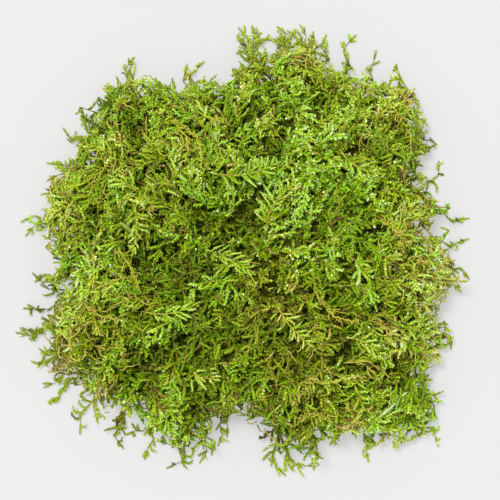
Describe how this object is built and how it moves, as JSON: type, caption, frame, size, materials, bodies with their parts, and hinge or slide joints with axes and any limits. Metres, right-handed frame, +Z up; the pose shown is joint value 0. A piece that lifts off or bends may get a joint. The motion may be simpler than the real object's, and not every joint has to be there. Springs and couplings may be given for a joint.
{
  "type": "moss clump",
  "caption": "Low springy clump of feather moss with a ragged rim of loose leafy shoots and a few dry tan strands, for dressing ground, pots and displays.",
  "frame": {"origin": "centre of the clump's bounding box, on the ground plane that it rests on", "axes": "+Z up, away from the ground. +X to the right and +Y to the top of the reference picture, which looks straight down"},
  "size_m": [0.1602, 0.1596, 0.0387],
  "materials": {
    "moss_green": "living leafy moss, matte with a slight sheen on the leaf folds",
    "moss_dry": "dead tan moss, matte",
    "moss_base": "felted brown old stems, matte"
  },
  "bodies": {
    "root": {"moss_mat": "moss_base", "rim_shoot_01": "moss_green", "rim_shoot_02": "moss_green", "rim_shoot_03": "moss_green", "rim_shoot_04": "moss_green", "rim_shoot_05": "moss_green", "rim_shoot_06": "moss_green", "rim_shoot_07": "moss_green", "rim_shoot_08": "moss_green", "rim_shoot_09": "moss_green", "rim_shoot_10": "moss_green", "rim_shoot_11": "moss_green", "rim_shoot_12": "moss_green", "rim_shoot_13": "moss_green", "rim_shoot_14": "moss_green", "rim_shoot_15": "moss_green", "rim_shoot_16": "moss_green", "rim_shoot_17": "moss_green", "rim_shoot_18": "moss_green", "rim_shoot_19": "moss_green", "rim_shoot_20": "moss_green", "rim_shoot_21": "moss_green", "rim_shoot_22": "moss_green", "rim_shoot_23": "moss_green", "rim_shoot_24": "moss_green", "rim_shoot_25": "moss_green", "rim_shoot_26": "moss_green", "rim_shoot_27": "moss_green", "rim_shoot_28": "moss_green", "rim_shoot_29": "moss_green", "rim_shoot_30": "moss_green", "rim_shoot_31": "moss_green", "crown_shoot_01": "moss_green", "crown_shoot_02": "moss_green", "crown_shoot_03": "moss_green", "crown_shoot_04": "moss_green", "crown_shoot_05": "moss_green", "crown_shoot_06": "moss_green", "crown_shoot_07": "moss_green", "crown_shoot_08": "moss_green", "dry_shoot_01": "moss_dry", "dry_shoot_02": "moss_dry", "dry_shoot_03": "moss_dry", "dry_shoot_04": "moss_dry", "dry_shoot_05": "moss_dry", "dry_shoot_06": "moss_dry", "dry_shoot_07": "moss_dry", "dry_shoot_08": "moss_dry", "dry_shoot_09": "moss_dry"}
  },
  "joints": []
}
